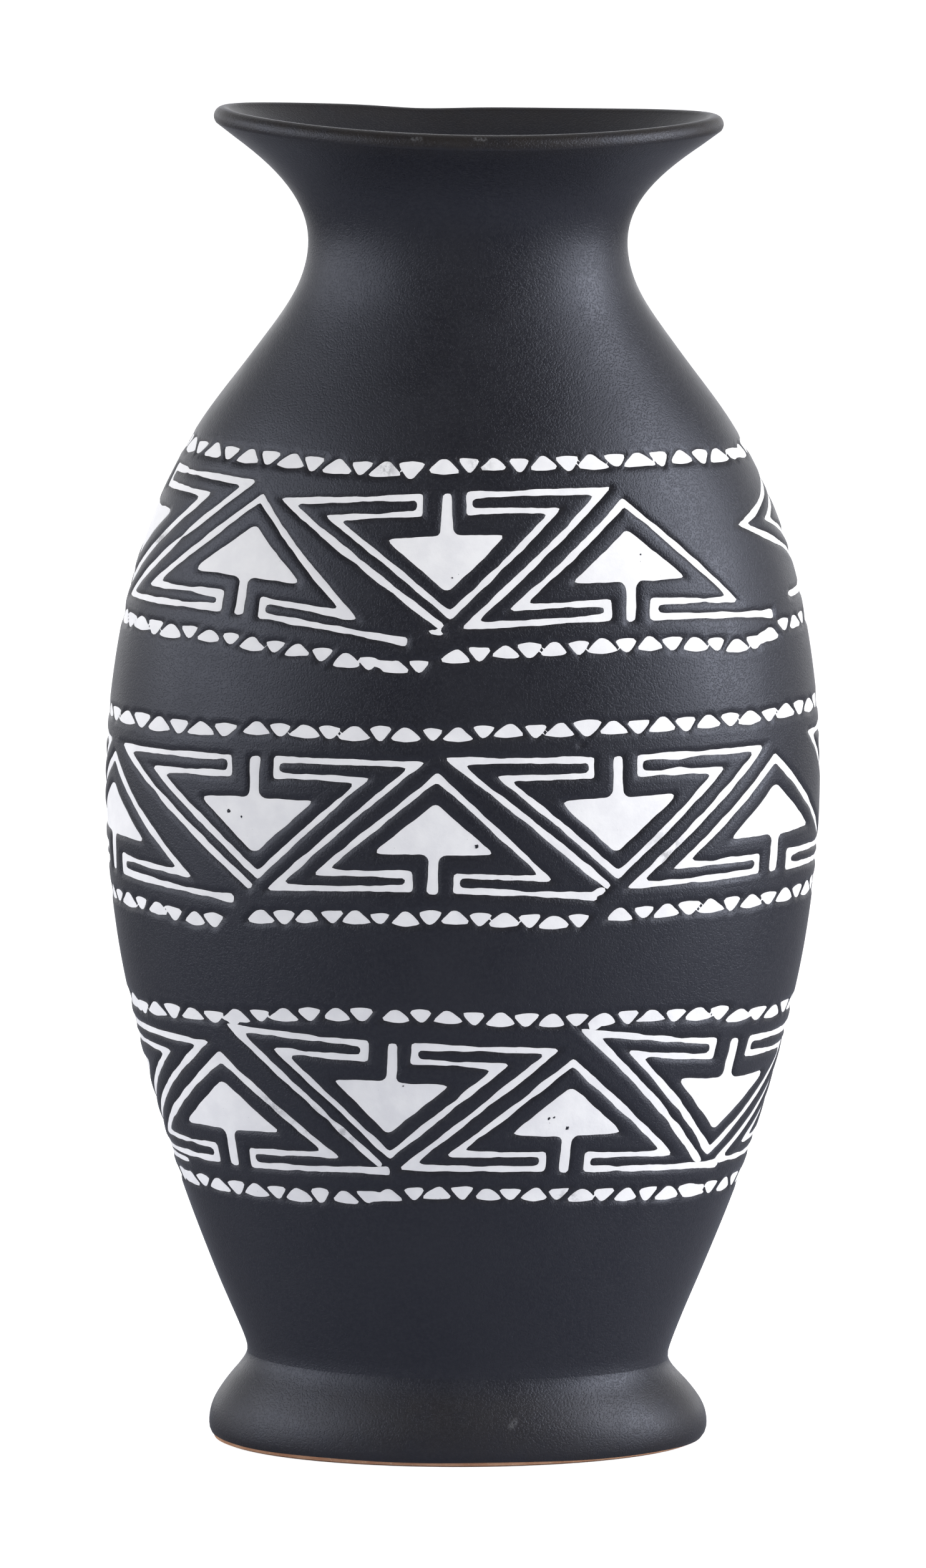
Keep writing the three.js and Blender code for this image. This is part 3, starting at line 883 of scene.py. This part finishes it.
class Nodes:
    """The nodes of a material or a world, and short ways to add to them."""

    def __init__(self, owner, main_type):
        owner.use_nodes = True
        self.nodes = owner.node_tree.nodes
        self.links = owner.node_tree.links
        self.main = next(n for n in self.nodes if n.type == main_type)

    def set(self, label, value):
        """Gives an input of the main node a value, or a link."""
        self.feed(self.main.inputs[label], value)

    def node(self, kind, settings=None, **inputs):
        node = self.nodes.new(kind)
        for label, value in (settings or {}).items():
            setattr(node, label, value)
        for label, value in inputs.items():
            self.feed(node.inputs[int(label[1:]) if label[1:].isdigit() else label], value)
        return node

    def feed(self, socket, value):
        if isinstance(value, bpy.types.NodeSocket):
            self.links.new(value, socket)
        else:
            socket.default_value = value

    def ramp(self, value, low, high, start=0.0, end=1.0):
        """value between low and high becomes start to end, and stops there."""
        settings = {"interpolation_type": "SMOOTHSTEP"}
        node = self.node("ShaderNodeMapRange", settings, Value=value)
        for label, number in (("From Min", low), ("From Max", high), ("To Min", start), ("To Max", end)):
            node.inputs[label].default_value = number
        return node.outputs["Result"]

    def maths(self, operation, a, b):
        return self.node("ShaderNodeMath", {"operation": operation}, i0=a, i1=b).outputs[0]

    def times(self, a, b):
        return self.maths("MULTIPLY", a, b)

    def axis(self, vector, label):
        return self.node("ShaderNodeSeparateXYZ", i0=vector).outputs[label]

    def camera_ray(self):
        """1 where the camera sees a surface itself, and 0 in its light on others."""
        return self.node("ShaderNodeLightPath").outputs["Is Camera Ray"]


class Shader(Nodes):
    """A principled material, textured in the object's own coordinates."""

    def __init__(self, name, specular, roughness=0.5):
        self.material = bpy.data.materials.new(name)
        super().__init__(self.material, "BSDF_PRINCIPLED")
        self.set("Specular IOR Level", specular)
        self.set("Roughness", roughness)
        self.place = self.node("ShaderNodeTexCoord").outputs["Object"]

    def noise(self, millimetres, detail=3, rough=0.55):
        """Noise with lumps of about that size."""
        return self.node("ShaderNodeTexNoise", Vector=self.place, Scale=1 / (millimetres * MM),
                         Detail=detail, Roughness=rough).outputs["Fac"]

    def mix(self, share, a, b):
        """Colour a, turning to b as share goes to 1."""
        node = self.node("ShaderNodeMix", {"data_type": "RGBA"}, i0=share, i6=a, i7=b)
        return node.outputs[2]

    def mark(self, label):
        return self.node("ShaderNodeAttribute", {"attribute_name": label}).outputs["Fac"]

    def bump(self, height, millimetres, strength=1.0, after=None):
        node = self.node("ShaderNodeBump", Height=height, Distance=millimetres * MM, Strength=strength)
        if after:
            self.feed(node.inputs["Normal"], after)
        return node.outputs["Normal"]

    def vector(self, operation, a, b=None, **inputs):
        if b is not None:
            inputs["i1"] = b
        return self.node("ShaderNodeVectorMath", {"operation": operation}, i0=a, **inputs).outputs

    def near_line(self, start, end, millimetres):
        """1 on a short straight line between two points and 0 beyond that distance from it."""
        start, end = np.array(start) * MM, np.array(end) * MM
        along = end - start
        offset = self.vector("SUBTRACT", self.place, start)[0]
        share = self.vector("DOT_PRODUCT", offset, along / along.dot(along))["Value"]
        held = self.node("ShaderNodeClamp", Value=share).outputs[0]
        nearest = self.vector("SCALE", along, Scale=held)[0]
        gap = self.vector("DISTANCE", offset, nearest)["Value"]
        return self.ramp(gap, millimetres * MM, 0.2 * millimetres * MM)


def colour(red, green, blue):
    return (red, green, blue, 1)


# Marks on the glaze: (start, end, half width, how pale), each at the vase's front
SCRATCHES = [
    ((8.6, -25.2, 299.5), (13.6, -24.6, 293.4), 0.28, 0.10),
    ((-11, -37.5, 333.6), (-9.2, -37.6, 333.5), 0.9, 0.07),
    ((4.4, -38, 333.6), (6.6, -38, 333.4), 0.9, 0.08),
    ((13.4, -36, 10.4), (14.8, -35.8, 12.2), 1.3, 0.07),
    ((7.2, -33.8, 16.9), (7.4, -33.8, 17.1), 0.3, 0.3),
    ((6.6, -33.4, 18.2), (6.7, -33.4, 18.4), 0.25, 0.25),
    ((11.5, -33.3, 284), (12.5, -33.2, 280), 0.2, 0.06),
]


def glaze_colour(shader, thin):
    """Blue-black with a fine grain, brown where it is thin, with a few pale freckles and marks."""
    cloud = shader.ramp(shader.noise(28, 2), 0.3, 0.7)
    grain = shader.ramp(shader.noise(0.9, 4), 0.35, 0.68)
    blue_black = shader.mix(cloud, colour(0.0105, 0.0105, 0.0145), colour(0.0135, 0.0135, 0.0175))
    grained = shader.mix(grain, blue_black, colour(0.017, 0.017, 0.021))
    browned = shader.mix(thin, grained, colour(0.0165, 0.0135, 0.0115))
    freckle = shader.ramp(shader.noise(0.55, 1), 0.80, 0.86)
    rare = shader.ramp(shader.noise(9, 2), 0.55, 0.7)
    marked = shader.mix(shader.times(freckle, rare), browned, colour(0.14, 0.14, 0.15))
    broken = shader.ramp(shader.noise(0.6, 3), 0.35, 0.6)
    for start, end, width, pale in SCRATCHES:
        scratch = shader.times(shader.near_line(start, end, width), broken)
        marked = shader.mix(scratch, marked, colour(pale, pale, pale * 1.05))
    return marked


def glaze_material():
    """Satin black glaze, finely pitted, a little uneven, and rougher where it has drawn thin."""
    shader = Shader("black_glaze", specular=0.45)
    shader.set("Specular Tint", colour(0.78, 0.83, 1))
    shader.set("Sheen Weight", 0.1)
    shader.set("Sheen Roughness", 0.25)
    shader.set("Sheen Tint", colour(0.75, 0.78, 1))
    thin = shader.times(shader.mark("thin"), shader.ramp(shader.noise(5, 4), 0.25, 0.6, 0.45, 1))
    shader.set("Base Color", glaze_colour(shader, thin))
    satin = shader.ramp(shader.noise(14, 4), 0.3, 0.7, 0.37, 0.44)
    shader.set("Roughness", shader.maths("ADD", satin, shader.times(thin, 0.05)))
    orange_peel = shader.bump(shader.noise(3.5, 1), 0.05, 0.5)
    pits = shader.ramp(shader.noise(0.5, 3), 0.3, 0.56)
    shader.set("Normal", shader.bump(pits, 0.05, 0.8, orange_peel))
    return shader.material


def slip_material():
    """Bare white slip: matt, mottled, pocked here and there and grey where it has worn."""
    shader = Shader("white_slip", specular=0.3)
    mottle = shader.ramp(shader.noise(6, 5), 0.3, 0.7)
    white = shader.mix(mottle, colour(0.79, 0.79, 0.82), colour(0.86, 0.86, 0.88))
    pock = shader.ramp(shader.noise(0.7, 2), 0.74, 0.82)
    pocked = shader.mix(pock, white, colour(0.42, 0.42, 0.44))
    patch = shader.ramp(shader.noise(2.2, 5, 0.7), 0.42, 0.6)
    wear = shader.times(shader.mark("worn"), patch)
    shader.set("Base Color", shader.mix(wear, pocked, colour(0.44, 0.44, 0.46)))
    shader.set("Roughness", shader.ramp(mottle, 0, 1, 0.55, 0.72))
    shader.set("Normal", shader.bump(shader.noise(1.1, 5, 0.65), 0.08, 0.6))
    return shader.material


def clay_material():
    """Bare red clay, sandy and a little scuffed."""
    shader = Shader("bare_clay", specular=0.25)
    tone = shader.ramp(shader.noise(7, 4), 0.3, 0.7)
    clay = shader.mix(tone, colour(0.36, 0.18, 0.105), colour(0.47, 0.27, 0.17))
    sand = shader.ramp(shader.noise(0.5, 2), 0.62, 0.74)
    shader.set("Base Color", shader.mix(sand, clay, colour(0.56, 0.40, 0.29)))
    shader.set("Roughness", shader.ramp(tone, 0, 1, 0.8, 0.92))
    shader.set("Normal", shader.bump(shader.noise(0.8, 4), 0.15, 0.7))
    return shader.material


# ---- the studio ----

def studio_floor():
    """A wide pale floor that runs out of sight. It throws light back on the vase from near by
    and from behind it, and little from the front."""
    reach = 9000
    bpy.ops.mesh.primitive_circle_add(vertices=96, radius=reach * MM, fill_type="NGON")
    ground = bpy.context.object
    ground.name = "studio_floor"
    shader = Shader("studio_floor", specular=0.1, roughness=0.9)
    seen = shader.camera_ray()
    near = shader.ramp(shader.vector("LENGTH", shader.place)["Value"], 0.9, 0.25)
    behind = shader.ramp(shader.axis(shader.place, "Y"), 0.2, 1.2)
    lit = shader.mix(near, colour(0.09, 0.09, 0.1), colour(0.48, 0.5, 0.57))
    shader.set("Base Color", shader.mix(seen, lit, colour(0.92, 0.92, 0.93)))
    shader.set("Emission Color", colour(1, 1, 1))
    glow = shader.maths("MAXIMUM", shader.times(seen, 0.75), shader.times(behind, 0.9))
    shader.set("Emission Strength", glow)
    ground.data.materials.append(shader.material)


def soft_box(name, azimuth, elevation, distance, width, height, power):
    """An area light that faces the vase, at an azimuth from the front towards +X, in degrees."""
    light = bpy.data.lights.new(name, "AREA")
    light.shape = "RECTANGLE"
    light.size, light.size_y = width * MM, height * MM
    light.energy = power
    lamp = bpy.data.objects.new(name, light)
    a, e = math.radians(azimuth), math.radians(elevation)
    aim = np.array((0, 0, HEIGHT / 2))
    away = np.array((math.sin(a) * math.cos(e), -math.cos(a) * math.cos(e), math.sin(e)))
    lamp.location = (aim + away * distance) * MM
    lamp.rotation_euler = (math.pi / 2 - e, 0, a)
    bpy.context.scene.collection.objects.link(lamp)


def studio_lights():
    soft_box("left_soft_box", -68, 15, 1500, 1700, 1300, 24)
    soft_box("right_soft_box", 68, 18, 1500, 700, 1500, 36)


def studio_world():
    """White all round for the camera; for the vase, bright behind, dark by the camera and dim
    overhead."""
    world = bpy.data.worlds.new("studio")
    bpy.context.scene.world = world
    sky = Nodes(world, "BACKGROUND")
    direction = sky.node("ShaderNodeTexCoord").outputs["Generated"]
    behind = sky.ramp(sky.axis(direction, "Y"), -0.3, 0.9, 0.06, 2)
    overhead = sky.ramp(sky.axis(direction, "Z"), 0, 0.7, 1, 0.3)
    sky.set("Color", colour(1, 1, 1))
    sky.set("Strength", sky.maths("MAXIMUM", sky.camera_ray(), sky.times(behind, overhead)))


def studio_camera():
    lens = bpy.data.cameras.new("camera")
    lens.lens = LENS
    lens.sensor_fit = "VERTICAL"
    lens.sensor_height = SENSOR_HEIGHT
    lens.clip_end = 100
    camera = bpy.data.objects.new("camera", lens)
    away = np.array((0, -math.cos(LOOK_DOWN), math.sin(LOOK_DOWN)))
    camera.location = (np.array(AIM) + away * CAMERA_DISTANCE) * MM
    camera.rotation_euler = (math.pi / 2 - LOOK_DOWN, 0, 0)
    bpy.context.scene.collection.objects.link(camera)
    bpy.context.scene.camera = camera


def build_vase():
    glaze, slip, clay = glaze_material(), slip_material(), clay_material()
    foot_glaze(glaze)
    foot_clay(clay)
    floor_disc(clay)
    bands = {name: Band(name, plan, seed) for seed, (name, plan) in enumerate(BANDS.items(), 5)}
    recess = {name: (band.low, band.high) for name, band in bands.items()}
    wall_section("lower_body", WAIST, BELLY_SEAM, glaze, [recess["3"]])
    wall_section("upper_body", BELLY_SEAM, NECK_SEAM, glaze, [recess["2"], recess["1"]])
    wall_section("neck", NECK_SEAM, RIM_SEAM, glaze)
    wall_section("rim", RIM_SEAM, 2 * HEIGHT, glaze)
    for band in bands.values():
        band.prints()
        band.tooth_rows()
        band.strays()
        glaze_band(band, glaze)
        slip_figures(band, slip)
    glaze_spats(bands, glaze)


build_vase()
studio_floor()
studio_lights()
studio_world()
studio_camera()
bpy.context.scene.view_settings.view_transform = "Standard"
